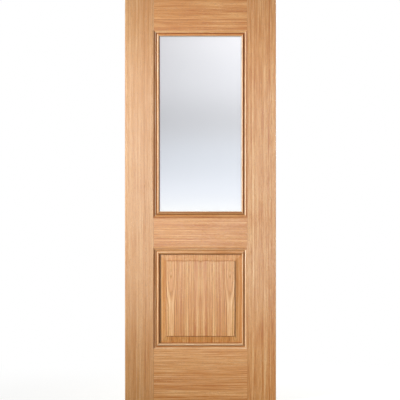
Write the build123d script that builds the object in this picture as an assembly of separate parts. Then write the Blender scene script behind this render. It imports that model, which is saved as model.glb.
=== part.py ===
from build123d import *
import os

# Glazed interior door leaf in oak: two full-height stiles, three rails between them, a frosted pane
# in the upper opening and a raised and fielded panel in the lower one. A mitred moulding runs round
# each opening on both faces and holds the pane and the panel between its front and back pieces.
#
# Millimetres. X runs across the leaf from the hinge edge, Y through it with the front face at -Y,
# and Z up from the foot. The origin is on the hinge edge, at the foot, in mid thickness.

# Leaf
LEAF_WIDTH = 762.0
LEAF_HEIGHT = 2032.0
LEAF_THICKNESS = 35.0

# Stiles and rails, as they show on the face
STILE_WIDTH = 145.0
TOP_RAIL_HEIGHT = 160.0
MID_RAIL_HEIGHT = 158.0
BOTTOM_RAIL_HEIGHT = 265.0
PANEL_OPENING_HEIGHT = 506.0

# Solid oak lipping on each long edge, counted in the stile's width
LIPPING_THICKNESS = 8.0
ARRIS_RADIUS = 1.5

# Pane, the tape that beds it on both faces, and the two blocks that it stands on
GLASS_THICKNESS = 4.0
GLASS_EDGE_GAP = 3.0
TAPE_THICKNESS = 1.5
TAPE_WIDTH = 9.0
TAPE_SETBACK = 2.0
SETTING_BLOCK_LENGTH = 60.0
SETTING_BLOCK_INSET = 90.0

# Moulding: a lip beside the stile or rail, an ovolo, a quirk and a bead at the sight line.
# Each drop is measured down from the face of the leaf, and the bead's rise up from the quirk.
LIP_WIDTH = 3.5
LIP_DROP = 3.0
OVOLO_WIDTH = 9.0
OVOLO_SAGITTA = 1.0
QUIRK_WIDTH = 2.5
QUIRK_DROP = 8.8
BEAD_WIDTH = 15.0
BEAD_RISE = 7.4

# Raised and fielded panel: margins that rise from the tongue, and a coved shoulder up to the field
PANEL_EDGE_GAP = 3.0
MARGIN_WIDTH = 34.0
MARGIN_RISE = 3.5
SHOULDER_COVE_RADIUS = 2.5
SHOULDER_STEP = 2.5

# What follows from those sizes
FACE_Y = -LEAF_THICKNESS / 2
OPENING_WIDTH = LEAF_WIDTH - 2 * STILE_WIDTH
CENTRE_X = LEAF_WIDTH / 2
PANEL_OPENING_FOOT = BOTTOM_RAIL_HEIGHT
MID_RAIL_FOOT = PANEL_OPENING_FOOT + PANEL_OPENING_HEIGHT
GLASS_OPENING_FOOT = MID_RAIL_FOOT + MID_RAIL_HEIGHT
TOP_RAIL_FOOT = LEAF_HEIGHT - TOP_RAIL_HEIGHT
GLASS_OPENING_HEIGHT = TOP_RAIL_FOOT - GLASS_OPENING_FOOT
MOULDING_WIDTH = LIP_WIDTH + OVOLO_WIDTH + QUIRK_WIDTH + BEAD_WIDTH
SEAT_Y = -GLASS_THICKNESS / 2 - TAPE_THICKNESS
PANEL_TONGUE = -2 * SEAT_Y


def block(x, y, z):
    """A box given by its low and high value along each axis."""
    size = [high - low for low, high in (x, y, z)]
    middle = [(low + high) / 2 for low, high in (x, y, z)]
    return Pos(*middle) * Box(*size)


def left_stile():
    """The stile behind its lipping."""
    return block((LIPPING_THICKNESS, STILE_WIDTH), (FACE_Y, -FACE_Y), (0, LEAF_HEIGHT))


def left_lipping():
    """The oak strip on the long edge, with its two arrises eased."""
    strip = block((0, LIPPING_THICKNESS), (FACE_Y, -FACE_Y), (0, LEAF_HEIGHT))
    arrises = strip.edges().filter_by(Axis.Z).group_by(Axis.X)[0]
    return fillet(arrises, ARRIS_RADIUS)


def other_side(left_piece):
    """The right-hand twin of a piece on the left."""
    return mirror(left_piece, Plane.YZ.offset(CENTRE_X))


def rail(foot, height):
    """A rail between the stiles."""
    return block((STILE_WIDTH, LEAF_WIDTH - STILE_WIDTH), (FACE_Y, -FACE_Y), (foot, foot + height))


def moulding_section():
    """Section of the moulding: X in from the edge of the opening, Y as on the front of the leaf."""
    lip_y = FACE_Y + LIP_DROP
    quirk_y = FACE_Y + QUIRK_DROP
    ovolo_end = LIP_WIDTH + OVOLO_WIDTH
    bead_start = ovolo_end + QUIRK_WIDTH
    outline = Polyline((bead_start, quirk_y), (ovolo_end, quirk_y))
    outline += SagittaArc((ovolo_end, quirk_y), (LIP_WIDTH, lip_y), OVOLO_SAGITTA)
    outline += Polyline(
        (LIP_WIDTH, lip_y), (0, lip_y), (0, SEAT_Y), (MOULDING_WIDTH, SEAT_Y), (MOULDING_WIDTH, quirk_y)
    )
    outline += SagittaArc((MOULDING_WIDTH, quirk_y), (bead_start, quirk_y), BEAD_RISE)
    return make_face(outline)


def moulding(length):
    """One mitred piece that runs up Z from a corner of the opening, with its outer side on X = 0."""
    bar = extrude(moulding_section(), length)
    mitres = make_face(
        Polyline(
            (0, 0),
            (MOULDING_WIDTH, MOULDING_WIDTH),
            (MOULDING_WIDTH, length - MOULDING_WIDTH),
            (0, length),
            close=True,
        )
    )
    return bar & extrude(Plane.XZ * mitres, LEAF_THICKNESS, both=True)


def moulding_round(foot, height):
    """The four front pieces round an opening, by side. Each is turned about Y from the left one."""
    low_x, high_x = STILE_WIDTH, STILE_WIDTH + OPENING_WIDTH
    low_z, high_z = foot, foot + height
    return {
        "left": Pos(low_x, 0, low_z) * moulding(height),
        "top": Pos(low_x, 0, high_z) * Rot(0, 90, 0) * moulding(OPENING_WIDTH),
        "right": Pos(high_x, 0, high_z) * Rot(0, 180, 0) * moulding(height),
        "bottom": Pos(high_x, 0, low_z) * Rot(0, 270, 0) * moulding(OPENING_WIDTH),
    }


def glass_pane():
    """The frosted pane, clear of the opening's edges all round."""
    width = OPENING_WIDTH - 2 * GLASS_EDGE_GAP
    height = GLASS_OPENING_HEIGHT - 2 * GLASS_EDGE_GAP
    centre_z = GLASS_OPENING_FOOT + GLASS_OPENING_HEIGHT / 2
    return Pos(CENTRE_X, 0, centre_z) * Box(width, GLASS_THICKNESS, height)


def front_tapes():
    """The four strips of glazing tape behind the front beads, by side, the level ones between the others."""
    inner = MOULDING_WIDTH - TAPE_SETBACK
    outer = inner - TAPE_WIDTH
    depth = (SEAT_Y, SEAT_Y + TAPE_THICKNESS)
    left = (STILE_WIDTH + outer, STILE_WIDTH + inner)
    right = (LEAF_WIDTH - STILE_WIDTH - inner, LEAF_WIDTH - STILE_WIDTH - outer)
    bottom = (GLASS_OPENING_FOOT + outer, GLASS_OPENING_FOOT + inner)
    top = (TOP_RAIL_FOOT - inner, TOP_RAIL_FOOT - outer)
    return {
        "left": block(left, depth, (bottom[0], top[1])),
        "right": block(right, depth, (bottom[0], top[1])),
        "top": block((left[1], right[0]), depth, top),
        "bottom": block((left[1], right[0]), depth, bottom),
    }


def left_setting_block():
    """The block between the mid rail and the foot of the pane, near its left corner."""
    start = STILE_WIDTH + SETTING_BLOCK_INSET
    foot = GLASS_OPENING_FOOT
    return block((start, start + SETTING_BLOCK_LENGTH), (SEAT_Y, -SEAT_Y), (foot, foot + GLASS_EDGE_GAP))


def panel_section(span):
    """Section through the panel from edge to edge, in X and Y, symmetric about both axes."""
    edge = span / 2
    sight = edge - (MOULDING_WIDTH - PANEL_EDGE_GAP)
    field = sight - MARGIN_WIDTH
    tongue_y = PANEL_TONGUE / 2
    foot_y = tongue_y + MARGIN_RISE
    cove_x = field + SHOULDER_COVE_RADIUS
    cove_y = foot_y + SHOULDER_COVE_RADIUS
    field_y = cove_y + SHOULDER_STEP
    outline = Polyline((field, cove_y), (field, field_y), (0, field_y), (0, 0), (edge, 0), (edge, tongue_y))
    outline += Polyline((edge, tongue_y), (sight, tongue_y), (cove_x, foot_y))
    outline += RadiusArc((cove_x, foot_y), (field, cove_y), SHOULDER_COVE_RADIUS)
    quarter = make_face(outline)
    half = quarter + mirror(quarter, Plane.YZ)
    return half + mirror(half, Plane.XZ)


def raised_panel():
    """The panel: the part that its upright section and its level section share, so the margins mitre."""
    width = OPENING_WIDTH - 2 * PANEL_EDGE_GAP
    height = PANEL_OPENING_HEIGHT - 2 * PANEL_EDGE_GAP
    across = extrude(panel_section(width), height / 2, both=True)
    upright = Rot(0, 90, 0) * extrude(panel_section(height), width / 2, both=True)
    return Pos(CENTRE_X, 0, PANEL_OPENING_FOOT + PANEL_OPENING_HEIGHT / 2) * (across & upright)


def back_of(front_piece):
    """The same piece on the back of the leaf."""
    return mirror(front_piece, Plane.XZ)


def build_nodes():
    """Every piece of the leaf by its node's name."""
    nodes = {
        "left_stile": left_stile(),
        "left_stile_lipping": left_lipping(),
        "right_stile": other_side(left_stile()),
        "right_stile_lipping": other_side(left_lipping()),
        "top_rail": rail(TOP_RAIL_FOOT, TOP_RAIL_HEIGHT),
        "mid_rail": rail(MID_RAIL_FOOT, MID_RAIL_HEIGHT),
        "bottom_rail": rail(0, BOTTOM_RAIL_HEIGHT),
        "glass_pane": glass_pane(),
        "left_setting_block": left_setting_block(),
        "right_setting_block": other_side(left_setting_block()),
        "raised_panel": raised_panel(),
    }
    rounds = {
        "glazing_tape": front_tapes(),
        "glass_bead": moulding_round(GLASS_OPENING_FOOT, GLASS_OPENING_HEIGHT),
        "panel_moulding": moulding_round(PANEL_OPENING_FOOT, PANEL_OPENING_HEIGHT),
    }
    for kind, pieces in rounds.items():
        for side, piece in pieces.items():
            nodes[f"front_{kind}_{side}"] = piece
            nodes[f"back_{kind}_{side}"] = back_of(piece)
    return nodes


os.makedirs("parts", exist_ok=True)
for name, piece in build_nodes().items():
    export_step(piece, f"parts/{name}.step")
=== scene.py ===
import math

import bpy
from mathutils import Euler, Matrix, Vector


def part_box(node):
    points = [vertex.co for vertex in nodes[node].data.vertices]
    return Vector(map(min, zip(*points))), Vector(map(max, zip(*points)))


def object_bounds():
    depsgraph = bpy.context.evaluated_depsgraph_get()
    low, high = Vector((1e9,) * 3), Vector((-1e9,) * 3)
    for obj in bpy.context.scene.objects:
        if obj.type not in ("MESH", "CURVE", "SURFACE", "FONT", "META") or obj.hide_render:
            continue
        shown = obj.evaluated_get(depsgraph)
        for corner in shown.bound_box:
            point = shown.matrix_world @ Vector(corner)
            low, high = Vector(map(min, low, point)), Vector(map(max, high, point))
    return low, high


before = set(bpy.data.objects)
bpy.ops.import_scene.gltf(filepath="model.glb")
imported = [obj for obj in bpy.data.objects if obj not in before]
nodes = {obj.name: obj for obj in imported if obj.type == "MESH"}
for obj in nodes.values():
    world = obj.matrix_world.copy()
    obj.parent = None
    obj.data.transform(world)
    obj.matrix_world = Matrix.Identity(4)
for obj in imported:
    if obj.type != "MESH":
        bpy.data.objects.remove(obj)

cad_low, cad_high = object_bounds()

# Sizes in metres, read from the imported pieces.
LEAF_WIDTH = cad_high.x - cad_low.x
LEAF_HEIGHT = cad_high.z - cad_low.z
FRONT_Y = cad_low.y
BACK_Y = cad_high.y
CENTRE_X = (cad_low.x + cad_high.x) / 2
LEFT_JOINT_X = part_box("left_stile")[1].x
RIGHT_JOINT_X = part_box("right_stile")[0].x
TOP_RAIL_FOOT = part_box("top_rail")[0].z
MID_RAIL_FOOT, MID_RAIL_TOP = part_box("mid_rail")[0].z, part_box("mid_rail")[1].z
BOTTOM_RAIL_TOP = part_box("bottom_rail")[1].z
MOULDING_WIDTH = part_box("front_panel_moulding_left")[1].x - LEFT_JOINT_X

# The two openings, and the stretch between the stiles that the rails fill. Each is a centre and a half
# size.
HALF_WIDTH = (RIGHT_JOINT_X - LEFT_JOINT_X) / 2
PANEL_OPENING = (
    (CENTRE_X, 0.0, (BOTTOM_RAIL_TOP + MID_RAIL_FOOT) / 2),
    (HALF_WIDTH, 0.0, (MID_RAIL_FOOT - BOTTOM_RAIL_TOP) / 2),
)
GLASS_OPENING = (
    (CENTRE_X, 0.0, (MID_RAIL_TOP + TOP_RAIL_FOOT) / 2),
    (HALF_WIDTH, 0.0, (TOP_RAIL_FOOT - MID_RAIL_TOP) / 2),
)
BETWEEN_STILES = (PANEL_OPENING[0], (HALF_WIDTH, 0.0, LEAF_HEIGHT))
SIDES = ("left", "right", "top", "bottom")

# How the nodes of a tree are set out to be read.
NODE_COLUMN, NODE_ROW, ROWS = 190, 170, 5
GROUP_INPUT_PLACE, GROUP_OUTPUT_PLACE = (-300, 0), (4000, 0)


class Wiring:
    """Short calls for building one node tree. A value is a number, a tuple or another node's socket."""

    def __init__(self, tree):
        self.tree = tree
        self.column = 0

    def node(self, kind, **settings):
        new = self.tree.nodes.new("ShaderNode" + kind)
        new.location = (self.column * NODE_COLUMN, -(self.column % ROWS) * NODE_ROW)
        self.column += 1
        for name, value in settings.items():
            setattr(new, name, value)
        return new

    def feed(self, socket, value):
        if isinstance(value, bpy.types.NodeSocket):
            self.tree.links.new(value, socket)
        elif socket.type == "RGBA" and len(value) == 3:
            socket.default_value = (*value, 1.0)
        else:
            socket.default_value = value

    def fed(self, kind, values, **settings):
        """A node whose first inputs take the values in turn."""
        new = self.node(kind, **settings)
        for socket, value in zip(new.inputs, values):
            self.feed(socket, value)
        return new

    def maths(self, operation, *values, clamp=False):
        return self.fed("Math", values, operation=operation, use_clamp=clamp).outputs[0]

    def centred(self, value):
        """How far a value between 0 and 1 lies from the middle."""
        return self.maths("SUBTRACT", value, 0.5)

    def vector_maths(self, operation, *values):
        new = self.fed("VectorMath", values, operation=operation)
        return new.outputs["Value" if operation == "LENGTH" else "Vector"]

    def scaled(self, vector, amount):
        new = self.fed("VectorMath", (vector,), operation="SCALE")
        self.feed(new.inputs["Scale"], amount)
        return new.outputs["Vector"]

    def parts(self, vector):
        return self.fed("SeparateXYZ", (vector,)).outputs

    def vector(self, x, y, z):
        return self.fed("CombineXYZ", (x, y, z)).outputs[0]

    def any_noise(self, way_in, value, scale, detail, roughness, **settings):
        new = self.node("TexNoise", **settings)
        values = {way_in: value, "Scale": scale, "Detail": detail, "Roughness": roughness}
        for name, number in values.items():
            self.feed(new.inputs[name], number)
        return new.outputs

    def noise(self, place, cells, detail=2.0, roughness=0.5, output="Fac"):
        """Noise in space, with so many cells a metre along each axis."""
        place = self.vector_maths("MULTIPLY", place, cells)
        return self.any_noise("Vector", place, 1.0, detail, roughness)[output]

    def noise_along(self, value, scale, detail, roughness=0.5):
        """Noise along one value."""
        return self.any_noise("W", value, scale, detail, roughness, noise_dimensions="1D")["Fac"]

    def spread(self, value, low, high, new_low=0.0, new_high=1.0, smooth=False):
        kind = "SMOOTHSTEP" if smooth else "LINEAR"
        values = (value, low, high, new_low, new_high)
        return self.fed("MapRange", values, interpolation_type=kind).outputs["Result"]

    def mix_colour(self, share, first, second, blend="MIX"):
        new = self.node("Mix", data_type="RGBA", blend_type=blend)
        share_in, first_in, second_in = new.inputs["Factor"], new.inputs[6], new.inputs[7]
        self.feed(share_in, share)
        self.feed(first_in, first)
        self.feed(second_in, second)
        return new.outputs[2]

    def mix_shader(self, share, first, second):
        return self.fed("MixShader", (share, first, second)).outputs[0]

    def ramp(self, value, stops, interpolation="LINEAR"):
        """A colour ramp. Each stop is a position and a colour."""
        new = self.fed("ValToRGB", (value,))
        new.color_ramp.interpolation = interpolation
        elements = new.color_ramp.elements
        for element, (position, colour) in zip(elements, (stops[0], stops[-1])):
            element.position, element.color = position, (*colour, 1.0)
        for position, colour in stops[1:-1]:
            elements.new(position).color = (*colour, 1.0)
        return new.outputs[0]

    def bump(self, height, strength, distance):
        new = self.node("Bump")
        new.inputs["Strength"].default_value = strength
        new.inputs["Distance"].default_value = distance
        self.feed(new.inputs["Height"], height)
        return new.outputs[0]

    def group(self, tree, **values):
        """A node group placed in this tree. Underscores in the names stand for spaces."""
        new = self.node("Group", node_tree=tree)
        for name, value in values.items():
            self.feed(new.inputs[name.replace("_", " ")], value)
        return new.outputs


def start_group(name, inputs, outputs):
    """An empty node group, with the names of its sockets listed by kind.

    Returns the tree, its wiring, and the sockets inside it that give its inputs and take its outputs.
    """
    tree = bpy.data.node_groups.new(name, "ShaderNodeTree")
    kinds = {"vector": "NodeSocketVector", "colour": "NodeSocketColor", "number": "NodeSocketFloat"}
    for way, sockets in (("INPUT", inputs), ("OUTPUT", outputs)):
        for kind, labels in sockets.items():
            for label in labels:
                tree.interface.new_socket(name=label, in_out=way, socket_type=kinds[kind])
    incoming = tree.nodes.new("NodeGroupInput")
    incoming.location = GROUP_INPUT_PLACE
    outgoing = tree.nodes.new("NodeGroupOutput")
    outgoing.location = GROUP_OUTPUT_PLACE
    return tree, Wiring(tree), incoming.outputs, outgoing.inputs


# What the growth of oak gives to its colour.
GROWTH_PARTS = ("Ring", "Season", "Pores", "Rays", "Tone", "Fibre", "Dashes")
# How many cells of each texture lie in a metre: across the board, through it and along its grain.
SWAY_CELLS = (5.0, 5.0, 1.1)
QUIVER_CELLS = (40.0, 40.0, 9.0)
PORE_CELLS = (2100.0, 2100.0, 75.0)
RAY_CELLS = (330.0, 140.0, 95.0)
RAY_PATCH_CELLS = (22.0, 22.0, 5.0)
TONE_CELLS = (62.0, 62.0, 0.9)
FIBRE_CELLS = (900.0, 900.0, 14.0)
DASH_CELLS = (190.0, 190.0, 7.0)
# The span of each noise that is spread over 0 to 1.
SEASON_SPAN = (0.34, 0.66)
RAY_SPAN, RAY_PATCH_SPAN = (0.60, 0.68), (0.48, 0.66)
TONE_SPAN, FIBRE_SPAN, DASH_SPAN = (0.32, 0.68), (0.28, 0.72), (0.32, 0.68)
# How far the grain sways and quivers, as a multiple of the board's own wander.
SWAY, QUIVER = 5.0, 0.35
# How far a seed moves a board through the textures.
SEED_SHIFT = (3.7, 1.0, 7.3)
SEASON_SEED_SHIFT = 5.1
# How fast the rings' widths and strengths change, in cells a ring.
YEARS_SCALE, SEASON_SCALE = 0.35, 0.45
# How many rings the count drifts by, as years are fat or lean.
YEARS_DRIFT = 3.2
# Where in a ring's width its early wood opens, and where it fades.
EARLY_OPENS = (0.0, 0.10)
EARLY_FADES = (0.18, 0.62)
# How strong a pit has to be to show as a pore, in late wood and in early wood, and how soft its rim is.
LATE_BAR, EARLY_BAR, PORE_RIM = 0.66, 0.50, 0.07


def make_growth_group():
    """Oak as it grows: rings round a pith that leans away from the board, with pores, rays and slow tone.

    Board is the position in metres with the grain along Z. Pith is where the pith passes up to the height
    Lean From, and Lean how far it moves in X and Y for each metre from there up to the height Lean To.
    """
    tree, w, inn, out = start_group(
        "Oak growth",
        {
            "vector": ("Board", "Pith", "Lean"),
            "number": ("Lean From", "Lean To", "Ring Width", "Wander", "Seed"),
        },
        {"number": GROWTH_PARTS},
    )
    shifted = w.vector_maths("ADD", inn["Board"], w.scaled(SEED_SHIFT, inn["Seed"]))

    # The grain wanders slowly up the board and quivers a little within a hand's width.
    grown = inn["Board"]
    for cells, detail, reach in ((SWAY_CELLS, 1.0, SWAY), (QUIVER_CELLS, 2.0, QUIVER)):
        drift = w.noise(shifted, cells, detail=detail, output="Color")
        drift = w.vector_maths("SUBTRACT", drift, (0.5, 0.5, 0.5))
        grown = w.vector_maths("ADD", grown, w.scaled(drift, w.maths("MULTIPLY", inn["Wander"], reach)))

    # Distance from the leaning pith, as a count of rings whose widths differ from year to year.
    height = w.parts(inn["Board"])["Z"]
    height = w.maths("MINIMUM", w.maths("MAXIMUM", height, inn["Lean From"]), inn["Lean To"])
    lean = w.scaled(inn["Lean"], w.maths("SUBTRACT", height, inn["Lean From"]))
    away = w.vector_maths("SUBTRACT", grown, w.vector_maths("ADD", inn["Pith"], lean))
    distance = w.vector_maths("LENGTH", w.vector_maths("MULTIPLY", away, (1.0, 1.0, 0.0)))
    count = w.maths("DIVIDE", distance, inn["Ring Width"])
    years = w.noise_along(w.maths("ADD", count, inn["Seed"]), YEARS_SCALE, detail=1.0)
    count = w.maths("MULTIPLY_ADD", w.centred(years), YEARS_DRIFT, count)

    # Early wood opens at each ring's start, then fades into late wood.
    phase = w.maths("FRACT", count)
    opening = w.spread(phase, *EARLY_OPENS, smooth=True)
    fading = w.spread(phase, *EARLY_FADES, 1.0, 0.0, smooth=True)
    ring = w.maths("MULTIPLY", opening, fading)
    # Lean and fat years make some rings show more than others.
    season = w.maths("MULTIPLY_ADD", inn["Seed"], SEASON_SEED_SHIFT, count)
    season = w.spread(w.noise_along(season, SEASON_SCALE, detail=2.0, roughness=0.6), *SEASON_SPAN)

    # Pores: short dark pits drawn out along the grain, crowded in the early wood.
    pits = w.noise(grown, PORE_CELLS, detail=1.0, roughness=0.4)
    bar = w.spread(ring, 0.0, 1.0, LATE_BAR, EARLY_BAR)
    pores = w.spread(w.maths("SUBTRACT", pits, bar), 0.0, PORE_RIM, smooth=True)

    # Rays: pale ribbons across the grain, where the cut runs close to them.
    ribbons = w.spread(w.noise(shifted, RAY_CELLS, detail=1.0), *RAY_SPAN, smooth=True)
    patch = w.spread(w.noise(shifted, RAY_PATCH_CELLS, detail=1.0), *RAY_PATCH_SPAN, smooth=True)
    rays = w.maths("MULTIPLY", ribbons, patch)

    # Tone is broad streaks up the board, and fibre the fine streaking between the pores. Dashes are darker
    # and lighter strokes a finger long, between the two.
    tone = w.spread(w.noise(shifted, TONE_CELLS, detail=3.0, roughness=0.6), *TONE_SPAN)
    fibre = w.spread(w.noise(grown, FIBRE_CELLS, detail=3.0, roughness=0.6), *FIBRE_SPAN)
    dashes = w.spread(w.noise(grown, DASH_CELLS, detail=2.0, roughness=0.65), *DASH_SPAN)

    for label, value in zip(GROWTH_PARTS, (ring, season, pores, rays, tone, fibre, dashes)):
        w.feed(out[label], value)
    return tree


# How much of its early wood's colour a ring takes in its weakest year.
WEAKEST_RING = 0.12
# How much each kind of streak adds to the broad tone.
STREAK_SHARES = {"Season": 0.9, "Fibre": 0.45, "Dashes": 1.2}
# Darker streaks are redder ones too: green and blue fall faster than red, by these powers.
GREEN_POWER, BLUE_POWER = 2.2, 3.8
# A ray's colour lies this far from late wood's towards the palest.
PALEST_WOOD, RAY_PALENESS, RAY_SHARE = (0.9, 0.62, 0.36), 0.5, 0.30
PORE_SHARE = 0.75
# What painted shade, painted highlights and seams do to the wood, and how much of it.
TINTS = {"Hollow": (0.42, 0.22, 0.06), "Crest": (1.25, 1.75, 3.0), "Seam": (0.30, 0.20, 0.13)}
TINT_SHARE = 0.85
# The pale sealant line is partly a painted glow from the pane.
SEALANT_AND_GLOW_COLOUR = (0.80, 0.70, 0.58)


def make_colour_group():
    """The colour of lacquered oak: its growth, seams, painted shade, painted highlights and sealant line.
    """
    tree, w, inn, out = start_group(
        "Oak colour",
        {
            "number": (*GROWTH_PARTS, "Figure", "Streaks", "Seam", "Hollow", "Crest", "Seal"),
            "colour": ("Late Wood", "Early Wood", "Pore"),
        },
        {"colour": ("Color",)},
    )
    share = w.maths("MULTIPLY", inn["Ring"], w.spread(inn["Season"], 0.0, 1.0, WEAKEST_RING, 1.0))
    share = w.maths("MULTIPLY", share, inn["Figure"], clamp=True)
    wood = w.mix_colour(share, inn["Late Wood"], inn["Early Wood"])
    # Broad streaks and fine fibres lighten and darken the wood round its own level.
    level = w.centred(inn["Tone"])
    for label, amount in STREAK_SHARES.items():
        level = w.maths("MULTIPLY_ADD", w.centred(inn[label]), amount, level)
    level = w.maths("MULTIPLY_ADD", level, inn["Streaks"], 1.0)
    streak = w.vector(level, w.maths("POWER", level, GREEN_POWER), w.maths("POWER", level, BLUE_POWER))
    wood = w.mix_colour(1.0, wood, streak, blend="MULTIPLY")
    ray = w.mix_colour(RAY_PALENESS, inn["Late Wood"], PALEST_WOOD)
    wood = w.mix_colour(w.maths("MULTIPLY", inn["Rays"], RAY_SHARE), wood, ray)
    wood = w.mix_colour(w.maths("MULTIPLY", inn["Pores"], PORE_SHARE), wood, inn["Pore"])
    for label, tint in TINTS.items():
        wood = w.mix_colour(w.maths("MULTIPLY", inn[label], TINT_SHARE), wood, tint, blend="MULTIPLY")
    w.feed(out["Color"], w.mix_colour(inn["Seal"], wood, SEALANT_AND_GLOW_COLOUR))
    return tree


CLOUD_CELLS = (9.0, 9.0, 4.0)
HAIR_CELLS = (38.0, 38.0, 27.0)
WORN_CELLS, WORN_SPAN = (4.0, 4.0, 3.0), (0.50, 0.66)
# A hairline mark lies where its noise is this near to the middle.
HAIR_SPAN = 0.0035
# How much rougher each thing makes the lacquer, and how far it lifts or sinks it, in millimetres.
ROUGHER = {"Cloud": 0.10, "Pores": 0.22, "Ring": 0.04, "Marks": 0.16, "Worn": 0.03, "Hollow": 0.5}
LIFTS = {"Pores": -0.05, "Marks": -0.004, "Ring": -0.008, "Fibre": 0.010}


def make_lacquer_group():
    """A thin satin lacquer that has sunk a little into the pores. Height is in millimetres."""
    tree, w, inn, out = start_group(
        "Satin lacquer",
        {"vector": ("Board",), "number": ("Pores", "Ring", "Fibre", "Sheen Roughness", "Hollow")},
        {"number": ("Roughness", "Height")},
    )
    # Hairline marks lie in loose patches, a little duller than the lacquer round them.
    hair = w.centred(w.noise(inn["Board"], HAIR_CELLS, detail=3.0, roughness=0.55))
    hair = w.spread(w.maths("ABSOLUTE", hair), 0.0, HAIR_SPAN, 1.0, 0.0)
    worn = w.spread(w.noise(inn["Board"], WORN_CELLS), *WORN_SPAN, smooth=True)
    effects = {"Cloud": w.centred(w.noise(inn["Board"], CLOUD_CELLS)), "Worn": worn}
    effects["Marks"] = w.maths("MULTIPLY", hair, worn)
    # The painted shade also makes the lacquer rougher where it lies.
    for label in ("Pores", "Ring", "Fibre", "Hollow"):
        effects[label] = inn[label]
    rough = inn["Sheen Roughness"]
    for label, amount in ROUGHER.items():
        rough = w.maths("MULTIPLY_ADD", effects[label], amount, rough, clamp=True)
    height = 0.0
    for label, amount in LIFTS.items():
        height = w.maths("MULTIPLY_ADD", effects[label], amount, height)
    w.feed(out["Roughness"], rough)
    w.feed(out["Height"], height)
    return tree


# The edges of the painted shade and painted highlights are made ragged by noise of this size and this much.
PAINTED_LIGHT_CELLS = (120.0, 120.0, 120.0)
PAINTED_LIGHT_RAGGED = 0.02
# Stops for a glaze that is nowhere on the section.
NOWHERE = ((0.0, 0.0), (1.0, 0.0))


def make_painted_light_group(name, hollow_stops, crest_stops, seal_and_glow_stops):
    """Painted shade and painted highlights across a section, with its sealant line.

    Way is how far across the section a place lies, from 0 to 1. Each stop is a place on that way and a
    share. The third output is where a pale line of sealant covers the wood; it is partly a painted glow.
    """
    tree, w, inn, out = start_group(
        name, {"vector": ("Place",), "number": ("Way",)}, {"number": ("Hollow", "Crest", "Seal")},
    )
    patch = w.noise(inn["Place"], PAINTED_LIGHT_CELLS)
    ragged = w.maths("MULTIPLY_ADD", w.centred(patch), PAINTED_LIGHT_RAGGED, inn["Way"])
    for label, stops in (("Hollow", hollow_stops), ("Crest", crest_stops), ("Seal", seal_and_glow_stops)):
        greys = w.ramp(ragged, [(position, (share,) * 3) for position, share in stops])
        w.feed(out[label], w.parts(greys)["X"])
    return tree


SEAM_WIDTH = 0.0006
# Along its way a seam comes and goes over this span of its noise, and is never fainter than this.
SEAM_CELLS, SEAM_SPAN, FAINTEST_SEAM = (30.0, 30.0, 30.0), (0.30, 0.55), 0.35


def make_joint_group():
    """Hairlines where boards meet: an opening's outline, its mitres, and how far inside it a place lies.

    Place, Centre, Half Size and Width are in metres. Each line is a dark seam that comes and goes, and it
    fades out at Width to each side.
    """
    tree, w, inn, out = start_group(
        "Joint lines",
        {"vector": ("Place", "Centre", "Half Size"), "number": ("Width",)},
        {"number": ("Edge", "Mitre", "Inside")},
    )

    def line(distance):
        """A seam where a distance comes to nought."""
        return w.spread(w.maths("ABSOLUTE", distance), 0.0, inn["Width"], 1.0, 0.0, smooth=True)

    from_centre = w.vector_maths("ABSOLUTE", w.vector_maths("SUBTRACT", inn["Place"], inn["Centre"]))
    inside = w.parts(w.vector_maths("SUBTRACT", inn["Half Size"], from_centre))
    broken = w.spread(w.noise(inn["Place"], SEAM_CELLS, detail=3.0), *SEAM_SPAN, FAINTEST_SEAM, 1.0)
    edge = w.maths("MAXIMUM", line(inside["X"]), line(inside["Z"]))
    mitre = line(w.maths("SUBTRACT", inside["X"], inside["Z"]))
    w.feed(out["Edge"], w.maths("MULTIPLY", edge, broken))
    w.feed(out["Mitre"], w.maths("MULTIPLY", mitre, broken))
    w.feed(out["Inside"], w.maths("MINIMUM", inside["X"], inside["Z"]))
    return tree


GROWTH = make_growth_group()
OAK_COLOUR = make_colour_group()
LACQUER = make_lacquer_group()
JOINTS = make_joint_group()

# Each moulding in six bands, from its joint with the frame to its foot: outer and inner ovolo, quirk, outer
# and inner bead, foot. A share below nought is painted shade, and one above it a painted highlight; the
# shares differ from side to side as the light falls on each.
BAND_ENDS = (0.0, 0.22, 0.40, 0.55, 0.72, 0.88, 1.0)
BAND_FADE = 0.015
PANEL_MOULDING_PAINTED_LIGHT = {
    "left": (-0.70, 0.40, -0.60, 0.65, -0.25, -0.65),
    "right": (-0.30, 1.18, -0.35, -0.05, 0.90, -0.05),
    "top": (0.15, 0.30, -0.15, 0.65, -0.45, 0.40),
    "bottom": (1.10, -0.35, -0.75, 1.10, 0.95, -0.60),
}
GLASS_BEAD_PAINTED_LIGHT = {
    "left": (-0.90, 1.18, -1.18, 1.10, 0.50, -1.18),
    "right": (-0.80, 1.18, 0.15, -1.15, 1.15, -0.50),
    "top": (0.10, 1.15, -1.15, -0.30, 0.00, -1.00),
    "bottom": (-0.30, 0.40, -0.85, 0.60, -0.90, 0.00),
}
# A thin pale line of sealant shows where a bead meets the pane. It is partly a painted glow, set by side as
# the light falls, and left off on the shaded left. The panel's mouldings have none.
SEALANT_STARTS, SEALANT_FULL = 0.90, 0.93
GLASS_BEAD_SEALANT_AND_GLOW = {"left": 0.0, "right": 0.8, "top": 1.0, "bottom": 0.8}
PANEL_MOULDING_SEALANT_AND_GLOW = dict.fromkeys(SIDES, 0.0)


def band_stops(bands, sign):
    """Ramp stops for a section's painted shade, with a sign of -1, or its painted highlights, with a sign
    of 1.
    """
    stops = []
    for first, last, share in zip(BAND_ENDS, BAND_ENDS[1:], bands):
        level = max(share * sign, 0.0)
        stops += [(first + BAND_FADE, level), (last - BAND_FADE, level)]
    return stops


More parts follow.
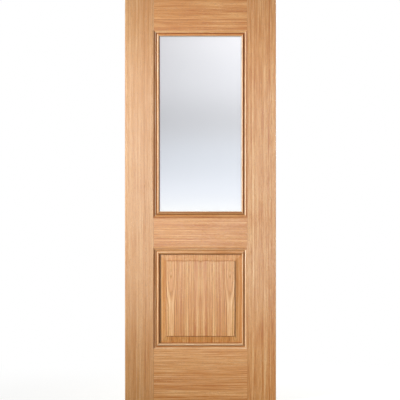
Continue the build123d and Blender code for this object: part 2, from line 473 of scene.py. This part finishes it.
def make_section_painted_light(name, bands, sealant_and_glow):
    """The painted shade, painted highlights and sealant line across one moulding."""
    seal_and_glow_stops = ((SEALANT_STARTS, 0.0), (SEALANT_FULL, sealant_and_glow))
    return make_painted_light_group(name, band_stops(bands, -1), band_stops(bands, 1), seal_and_glow_stops)


# Painted shade on the panel by its depth below the leaf's face: from its field, over shoulder, cove and
# margin, to its tongue. It darkens the shoulder round the field and the margin's edge beside the mouldings.
PANEL_DEPTHS = (0.005, 0.015)
PANEL_SHADE_STOPS = (
    (0.0, 0.0), (0.07, 0.0), (0.13, 1.0), (0.51, 1.0),
    (0.57, 0.12), (0.72, 0.05), (0.86, 0.08), (0.90, 0.6),
)
PANEL_DEPTH_SHADE = make_painted_light_group("Panel glaze", PANEL_SHADE_STOPS, NOWHERE, NOWHERE)


def start_material(name):
    """A material with its wiring, its shader and its position in the leaf's own frame."""
    material = bpy.data.materials.new(name)
    material.use_nodes = True
    w = Wiring(material.node_tree)
    place = w.node("TexCoord").outputs["Object"]
    return material, w, material.node_tree.nodes["Principled BSDF"], place


LATE_WOOD = (0.585, 0.277, 0.099)
EARLY_WOOD = (0.455, 0.180, 0.045)
PANEL_EARLY_WOOD = (0.42, 0.160, 0.018)
PORE = (0.240, 0.085, 0.018)
# Warmth takes this share from green of what it takes from blue.
GREEN_WARMTH = 0.35


def tinted(colour, factor, warmth):
    """A colour made lighter or darker, and redder for a positive warmth."""
    red, green, blue = colour
    return red * factor, green * factor * (1 - GREEN_WARMTH * warmth), blue * factor * (1 - warmth)


def grain_along(w, place, direction):
    """The position turned so that the grain runs along Z."""
    if direction == "up":
        return place
    place = w.parts(place)
    return w.vector(place["Z"], place["Y"], place["X"])


def book_matched(w, board, fold_x):
    """Two leaves of veneer opened like a book: each side mirrors the other, and the back the front."""
    board = w.parts(board)
    across = w.maths("ABSOLUTE", w.maths("SUBTRACT", board["X"], fold_x))
    return w.vector(across, w.maths("MULTIPLY", w.maths("ABSOLUTE", board["Y"]), -1.0), board["Z"])


def joint_lines(w, place, stretch):
    centre, half_size = stretch
    return w.group(JOINTS, Place=place, Centre=centre, Half_Size=half_size, Width=SEAM_WIDTH)


LACQUER_ROUGHNESS, LACQUER_IOR = 0.18, 1.5
LACQUER_BUMP = {"strength": 0.6, "distance": 0.001}
# How far painted shade reaches over the frame beside the mouldings: the part of that reach that is full,
# next to the moulding, and how strong the painted shade is there.
EDGE_SHADE_FULL, EDGE_SHADE_SHARE = 0.3, 0.5


def make_oak(name, direction, pith, seed, ring_width, factor, warmth, streaks=0.20, figure=0.7,
             wander=0.004, early=EARLY_WOOD, lean=(0, 0, 0), lean_span=(0, 0), fold_x=None, section=None,
             jointed=False, painted_shade_reach=0.0):
    """Lacquered oak for one board, with its own pith and its own tone.

    Pith, lean and lean span are the growth's. Factor and warmth tint the wood. Fold X is where the panel's
    two leaves of veneer meet. Section is the painted shade, painted highlights and sealant line of a
    moulding, whose mitres show. A jointed board shows the lines between stiles and rails. The painted
    shade's reach is how far from the mouldings painted shade darkens the frame, in metres.
    """
    material, w, shader, place = start_material(name)
    board = grain_along(w, place, direction)
    if fold_x is not None:
        board = book_matched(w, board, fold_x)
    growth = w.group(
        GROWTH, Board=board, Pith=pith, Lean=lean, Lean_From=lean_span[0], Lean_To=lean_span[1],
        Ring_Width=ring_width, Wander=wander, Seed=seed,
    )
    seam = joint_lines(w, place, BETWEEN_STILES)["Edge"] if jointed else 0.0
    painted_light = {"Hollow": 0.0, "Crest": 0.0, "Seal": 0.0}
    if section or painted_shade_reach:
        openings = [joint_lines(w, place, opening) for opening in (PANEL_OPENING, GLASS_OPENING)]
        inside = w.maths("MAXIMUM", *(lines["Inside"] for lines in openings))
    # A moulding's painted shade and painted highlights, which differ by side, and its sealant line.
    if section:
        seam = w.maths("MAXIMUM", *(lines["Mitre"] for lines in openings))
        painted_light = w.group(section, Place=place, Way=w.maths("DIVIDE", inside, MOULDING_WIDTH))
    # Painted shade darkens the frame for this reach beside the mouldings.
    if painted_shade_reach:
        full = -EDGE_SHADE_FULL * painted_shade_reach
        painted_light["Hollow"] = w.spread(inside, -painted_shade_reach, full, 0.0, EDGE_SHADE_SHARE, smooth=True)
    # Painted shade on the panel, set by its depth below the leaf's face.
    if fold_x is not None:
        depth = w.maths("SUBTRACT", BACK_Y, w.maths("ABSOLUTE", w.parts(place)["Y"]))
        painted_light = w.group(PANEL_DEPTH_SHADE, Place=place, Way=w.spread(depth, *PANEL_DEPTHS))
    colour = w.group(
        OAK_COLOUR, **{label: growth[label] for label in GROWTH_PARTS}, Figure=figure, Streaks=streaks,
        Late_Wood=tinted(LATE_WOOD, factor, warmth), Early_Wood=tinted(early, factor, warmth),
        Pore=tinted(PORE, factor, warmth), Seam=seam, Hollow=painted_light["Hollow"], Crest=painted_light["Crest"],
        Seal=painted_light["Seal"],
    )
    lacquer = w.group(
        LACQUER, Board=board, Pores=growth["Pores"], Ring=growth["Ring"], Fibre=growth["Fibre"],
        Sheen_Roughness=LACQUER_ROUGHNESS, Hollow=painted_light["Hollow"],
    )
    w.feed(shader.inputs["Base Color"], colour["Color"])
    w.feed(shader.inputs["Roughness"], lacquer["Roughness"])
    w.feed(shader.inputs["Normal"], w.bump(lacquer["Height"], **LACQUER_BUMP))
    shader.inputs["IOR"].default_value = LACQUER_IOR
    return material


GLASS_COLOUR, GLASS_IOR = (0.955, 0.965, 0.97), 1.5
ETCHED_ROUGHNESS, ETCHED_UNEVENNESS = 0.52, 0.06
ETCHED_CLOUD_CELLS = (3.0, 3.0, 3.0)
GRIT_CELLS = (1500.0, 1500.0, 1500.0)
GRIT_BUMP = {"strength": 0.25, "distance": 0.00002}


def make_frosted_glass():
    """Toughened glass with one etched face: it lets the light through and scatters it."""
    material, w, shader, place = start_material("satin etched glass")
    cloud = w.centred(w.noise(place, ETCHED_CLOUD_CELLS))
    grit = w.noise(place, GRIT_CELLS, roughness=0.6)
    rough = w.maths("MULTIPLY_ADD", cloud, ETCHED_UNEVENNESS, ETCHED_ROUGHNESS)
    w.feed(shader.inputs["Roughness"], rough)
    w.feed(shader.inputs["Normal"], w.bump(grit, **GRIT_BUMP))
    w.feed(shader.inputs["Base Color"], GLASS_COLOUR)
    shader.inputs["Transmission Weight"].default_value = 1.0
    shader.inputs["IOR"].default_value = GLASS_IOR
    return material


MOTTLE_SPAN, MOTTLE_SHADES = (0.3, 0.7), (0.9, 1.08)
PLAIN_BUMP_STRENGTH = 0.5


def make_plain(name, colour, roughness, grain_size, depth):
    """A matt moulded or foamed material with a fine even texture. Grain size and depth are in metres."""
    material, w, shader, place = start_material(name)
    texture = w.noise(place, (1 / grain_size,) * 3)
    shade = w.spread(texture, *MOTTLE_SPAN, *MOTTLE_SHADES)
    mottled = w.mix_colour(1.0, colour, w.vector(shade, shade, shade), blend="MULTIPLY")
    w.feed(shader.inputs["Base Color"], mottled)
    w.feed(shader.inputs["Normal"], w.bump(texture, PLAIN_BUMP_STRENGTH, depth))
    shader.inputs["Roughness"].default_value = roughness
    return material


# The oak of each board, then what the other pieces are made of. A pith far off to the side gives straight
# quarter grain. The panel's runs close behind its face, so its rings are cut as crowns.
# The left stile and the mid rail take painted shade beside the openings.
finishes = {
    "left_stile": make_oak(
        "left stile oak", "up", pith=(0.52, 0.03, 0), seed=1.3, ring_width=0.0030, factor=0.94,
        warmth=-0.10, streaks=0.15, jointed=True, painted_shade_reach=0.005,
    ),
    "right_stile": make_oak(
        "right stile oak", "up", pith=(0.20, -0.05, 0), seed=4.1, ring_width=0.0032, factor=0.985,
        warmth=0.04, streaks=0.25, jointed=True,
    ),
    "left_stile_lipping": make_oak(
        "left lipping oak", "up", pith=(-0.15, 0.10, 0), seed=15.2, ring_width=0.0026, factor=0.98,
        warmth=0.03,
    ),
    "right_stile_lipping": make_oak(
        "right lipping oak", "up", pith=(0.95, 0.08, 0), seed=17.6, ring_width=0.0026, factor=0.96,
        warmth=0.03,
    ),
    "top_rail": make_oak(
        "top rail oak", "across", pith=(2.35, 0.04, 0), seed=7.9, ring_width=0.0040, factor=0.98,
        warmth=0.25, streaks=0.25, jointed=True,
    ),
    "mid_rail": make_oak(
        "mid rail oak", "across", pith=(0.45, 0.05, 0), seed=2.6, ring_width=0.0036, factor=0.93,
        warmth=0.42, streaks=0.23, jointed=True, painted_shade_reach=0.009,
    ),
    "bottom_rail": make_oak(
        "bottom rail oak", "across", pith=(-0.30, 0.04, 0), seed=5.5, ring_width=0.0034, factor=1.02,
        warmth=0.05, streaks=0.245, jointed=True,
    ),
    "raised_panel": make_oak(
        "panel oak", "up", pith=(0.147, 0.0105, 0), seed=3.2, ring_width=0.0078, factor=1.015,
        warmth=0.07, streaks=0.24, figure=1.55, wander=0.0016, early=PANEL_EARLY_WOOD,
        lean=(0, -0.1125, 0), lean_span=(0.49, 0.69), fold_x=CENTRE_X,
    ),
}
# The lightness and warmth of each side's oak, round the panel and round the pane. The top bead round the
# pane is made lighter and warmer as painted light.
PANEL_MOULDING_TONES = {
    "left": (0.99, 0.04), "right": (0.99, 0.04), "top": (0.97, 0.08), "bottom": (0.99, 0.06),
}
GLASS_BEAD_TONES_AND_LIGHT = {
    "left": (0.99, 0.02), "right": (0.99, 0.00), "top": (1.12, 0.20), "bottom": (0.88, 0.32),
}
# The grain's direction and the pith of an upright moulding, and those of one that lies across the leaf.
UPRIGHT, LYING = ("up", (0.05, 0.35, 0)), ("across", (0.1, 0.4, 0))
MOULDING_RING_WIDTH = 0.0025
FIRST_MOULDING_SEED, MOULDING_SEED_STEP = 6.4, 1.7
moulding_oak = {}
for kind, bands, tones, sealant_and_glow in (
    ("panel_moulding", PANEL_MOULDING_PAINTED_LIGHT, PANEL_MOULDING_TONES, PANEL_MOULDING_SEALANT_AND_GLOW),
    ("glass_bead", GLASS_BEAD_PAINTED_LIGHT, GLASS_BEAD_TONES_AND_LIGHT, GLASS_BEAD_SEALANT_AND_GLOW),
):
    for side in SIDES:
        title = side + " " + kind.replace("_", " ")
        direction, pith = UPRIGHT if side in ("left", "right") else LYING
        lightness, warmth = tones[side]
        moulding_oak[f"{kind}_{side}"] = make_oak(
            title + " oak", direction, pith, factor=lightness, warmth=warmth,
            ring_width=MOULDING_RING_WIDTH,
            seed=FIRST_MOULDING_SEED + MOULDING_SEED_STEP * len(moulding_oak),
            section=make_section_painted_light(title + " glaze", bands[side], sealant_and_glow[side]),
        )
finishes["glass_pane"] = make_frosted_glass()
tape_foam = make_plain(
    "glazing tape foam", (0.62, 0.61, 0.57), roughness=0.8, grain_size=0.0006, depth=0.0002,
)
block_plastic = make_plain(
    "setting block plastic", (0.03, 0.03, 0.03), roughness=0.55, grain_size=0.0004, depth=0.00005,
)
finishes["left_setting_block"] = finishes["right_setting_block"] = block_plastic
for face in ("front", "back"):
    for side in SIDES:
        finishes[f"{face}_glazing_tape_{side}"] = tape_foam
    for moulding, oak in moulding_oak.items():
        finishes[f"{face}_{moulding}"] = oak

for name, piece in nodes.items():
    piece.data.materials.clear()
    piece.data.materials.append(finishes[name])


def make_sheet(name, width, length, material):
    """A flat sheet that faces up, for the floor and the cards."""
    mesh = bpy.data.meshes.new(name)
    x, y = width / 2, length / 2
    mesh.from_pydata([(-x, -y, 0), (x, -y, 0), (x, y, 0), (-x, y, 0)], [], [(0, 1, 2, 3)])
    mesh.materials.append(material)
    sheet = bpy.data.objects.new(name, mesh)
    bpy.context.scene.collection.objects.link(sheet)
    return sheet


FLOOR_SIZE, FLOOR_GAP = 14.0, 0.0005
FLOOR_COLOUR, FLOOR_ROUGHNESS = (0.9, 0.9, 0.9), 0.9
# The floor turns from partly lit to plain white over these distances from its middle.
SHADOW_REACH, LEAST_WHITE = (0.3, 2.2), 0.72
DIM_FLOOR_COLOUR = (0.22, 0.22, 0.22)


def make_floor():
    """A floor that the camera sees as white, with a share of the leaf's shadow kept near its foot."""
    material, w, shader, place = start_material("white floor")
    w.feed(shader.inputs["Base Color"], FLOOR_COLOUR)
    shader.inputs["Roughness"].default_value = FLOOR_ROUGHNESS
    white = w.node("Emission").outputs[0]
    whiteness = w.spread(w.vector_maths("LENGTH", place), *SHADOW_REACH, LEAST_WHITE, 1.0, smooth=True)
    seen = w.mix_shader(whiteness, shader.outputs[0], white)
    # Every other ray meets a dimmer floor, so that little light comes up on to the leaf from below.
    dim = w.fed("BsdfDiffuse", (DIM_FLOOR_COLOUR,)).outputs[0]
    above = w.mix_shader(w.node("LightPath").outputs["Is Camera Ray"], dim, seen)
    # From below, the floor lets the view through to the leaf's foot.
    clear = w.node("BsdfTransparent").outputs[0]
    either = w.mix_shader(w.node("NewGeometry").outputs["Backfacing"], above, clear)
    w.feed(w.tree.nodes["Material Output"].inputs["Surface"], either)
    floor = make_sheet("floor", FLOOR_SIZE, FLOOR_SIZE, material)
    floor.location = (CENTRE_X, 0.0, cad_low.z - FLOOR_GAP)


CARD_WIDTH, CARD_HEIGHT = 1.6, 2.2
CARD_GAP = 0.15
# The shades of a card run over this far below and above its middle, which is the pane's.
SHADED_HALF = 0.5
CARD_SHADES = (
    (0.00, (1.14, 1.14, 1.10)),
    (0.15, (0.87, 0.90, 0.97)),
    (0.32, (0.74, 0.77, 0.83)),
    (0.52, (0.63, 0.635, 0.665)),
    (0.75, (0.79, 0.79, 0.825)),
    (1.00, (0.88, 0.87, 0.90)),
)
# How much lighter a card grows for each metre to the right, at the head of its shades.
CARD_SLANT = 0.8


def make_glass_card(name, y):
    """A shaded card by the pane that only light through the glass sees, for the frosting's soft shades."""
    material, w, shader, place = start_material(name)
    w.tree.nodes.remove(shader)
    place = w.parts(place)
    up = w.spread(place["Y"], -SHADED_HALF, SHADED_HALF)
    glow = w.node("Emission")
    w.feed(glow.inputs["Color"], w.ramp(up, CARD_SHADES, interpolation="EASE"))
    strength = w.maths("MULTIPLY_ADD", place["X"], w.maths("MULTIPLY", up, CARD_SLANT), 1.0)
    w.feed(glow.inputs["Strength"], strength)
    w.feed(w.tree.nodes["Material Output"].inputs["Surface"], glow.outputs[0])
    low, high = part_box("glass_pane")
    card = make_sheet(name, CARD_WIDTH, CARD_HEIGHT, material)
    card.location = (CENTRE_X, y, (low.z + high.z) / 2)
    card.rotation_euler = Euler((math.radians(90), 0, 0))
    card.visible_camera = False
    card.visible_diffuse = False
    card.visible_glossy = False
    card.visible_shadow = False
    card.visible_volume_scatter = False


# The lamps leave out the pane, which would glow from behind. It has the cards instead.
LEFT_OUT = bpy.data.collections.new("left out by the lamps")
LEFT_OUT.objects.link(nodes["glass_pane"])
LEFT_OUT.collection_objects[0].light_linking.link_state = "EXCLUDE"
LAMP_COLOUR = (1.0, 1.0, 0.93)


def place_lamp(name, light, place, target, watts):
    """Stands a light at a place, turned to its target, and keeps it out of sight."""
    light.energy = watts
    light.color = LAMP_COLOUR
    lamp = bpy.data.objects.new(name, light)
    lamp.location = place
    lamp.rotation_euler = (Vector(target) - Vector(place)).to_track_quat("-Z", "Y").to_euler()
    lamp.visible_camera = False
    lamp.visible_transmission = False
    lamp.light_linking.receiver_collection = LEFT_OUT
    bpy.context.scene.collection.objects.link(lamp)


def make_softbox(name, place, target, width, height, watts):
    """A flat rectangular lamp."""
    light = bpy.data.lights.new(name, "AREA")
    light.shape = "RECTANGLE"
    light.size, light.size_y = width, height
    place_lamp(name, light, place, target, watts)


def make_dish(name, place, target, radius, beam_degrees, fade, watts):
    """A round lamp whose beam fades at its rim."""
    light = bpy.data.lights.new(name, "SPOT")
    light.shadow_soft_size = radius
    light.spot_size = math.radians(beam_degrees)
    light.spot_blend = fade
    place_lamp(name, light, place, target, watts)


ROOM_COLOUR, ROOM_LIGHT = (0.98, 1.0, 1.02), 0.10


def make_world():
    """A white room to look at, and a dimmer one to be lit by."""
    world = bpy.data.worlds.new("studio")
    bpy.context.scene.world = world
    world.use_nodes = True
    w = Wiring(world.node_tree)
    lit = w.tree.nodes["Background"]
    w.feed(lit.inputs["Color"], ROOM_COLOUR)
    w.feed(lit.inputs["Strength"], ROOM_LIGHT)
    white = w.fed("Background", ((1.0, 1.0, 1.0), 1.0))
    path = w.node("LightPath").outputs
    seen = w.maths("MAXIMUM", path["Is Glossy Ray"], path["Is Transmission Ray"])
    seen = w.maths("MAXIMUM", path["Is Camera Ray"], seen)
    room = w.mix_shader(seen, lit.outputs[0], white.outputs[0])
    w.feed(w.tree.nodes["World Output"].inputs["Surface"], room)


# The photograph's frame in its own pixels, with the leaf's width and its middle in it.
FRAME_PIXELS, LEAF_PIXELS, LEAF_MIDDLE_PIXEL = 400, 151, 200.5
CAMERA_DISTANCE, CLIP_END = 9.0, 60.0
SENSOR_WIDTH = 36.0


def make_camera():
    """The camera, square to the leaf and framed as in the photograph."""
    pixel = LEAF_WIDTH / LEAF_PIXELS
    data = bpy.data.cameras.new("camera")
    data.sensor_width = SENSOR_WIDTH
    data.lens = SENSOR_WIDTH * CAMERA_DISTANCE / (FRAME_PIXELS * pixel)
    data.clip_end = CLIP_END
    camera = bpy.data.objects.new("camera", data)
    frame_middle_x = CENTRE_X - (LEAF_MIDDLE_PIXEL - FRAME_PIXELS / 2) * pixel
    camera.location = (frame_middle_x, FRONT_Y - CAMERA_DISTANCE, (cad_low.z + cad_high.z) / 2)
    camera.rotation_euler = Euler((math.radians(90), 0, 0))
    bpy.context.scene.collection.objects.link(camera)
    bpy.context.scene.camera = camera


make_floor()
make_glass_card("card behind the pane", BACK_Y + CARD_GAP)
make_glass_card("card before the pane", FRONT_Y - CARD_GAP)
make_world()
make_camera()
make_dish(
    "key dish", (-4.97, -5.26, 3.7), (0.63, 0, 1.04),
    radius=0.6, beam_degrees=18.2, fade=0.20, watts=2200.0,
)
make_softbox("strip softbox", (-4.97, -5.26, 1.45), (0.50, 0, 1.15), width=0.4, height=2.2, watts=200.0)
make_softbox("front softbox", (-0.43, -5.0, 1.59), (CENTRE_X, 0, 1.10), width=0.8, height=1.32, watts=13.8)
make_softbox("sheen softbox", (0.52, -8.0, 0.98), (0.52, 0, 0.98), width=2.53, height=2.44, watts=98.0)
make_softbox("back softbox", (1.8, 3.8, 2.2), (CENTRE_X, 0, 1.0), width=1.8, height=1.8, watts=160.0)
make_softbox("side softbox", (4.0, 0.5, 1.3), (LEAF_WIDTH, 0, 1.0), width=0.8, height=1.8, watts=85.0)
make_softbox(
    "top softbox", (CENTRE_X, 0.22, 3.7), (CENTRE_X, 0, LEAF_HEIGHT),
    width=1.2, height=0.25, watts=20.0,
)

scene = bpy.context.scene
scene.view_settings.view_transform = "Standard"
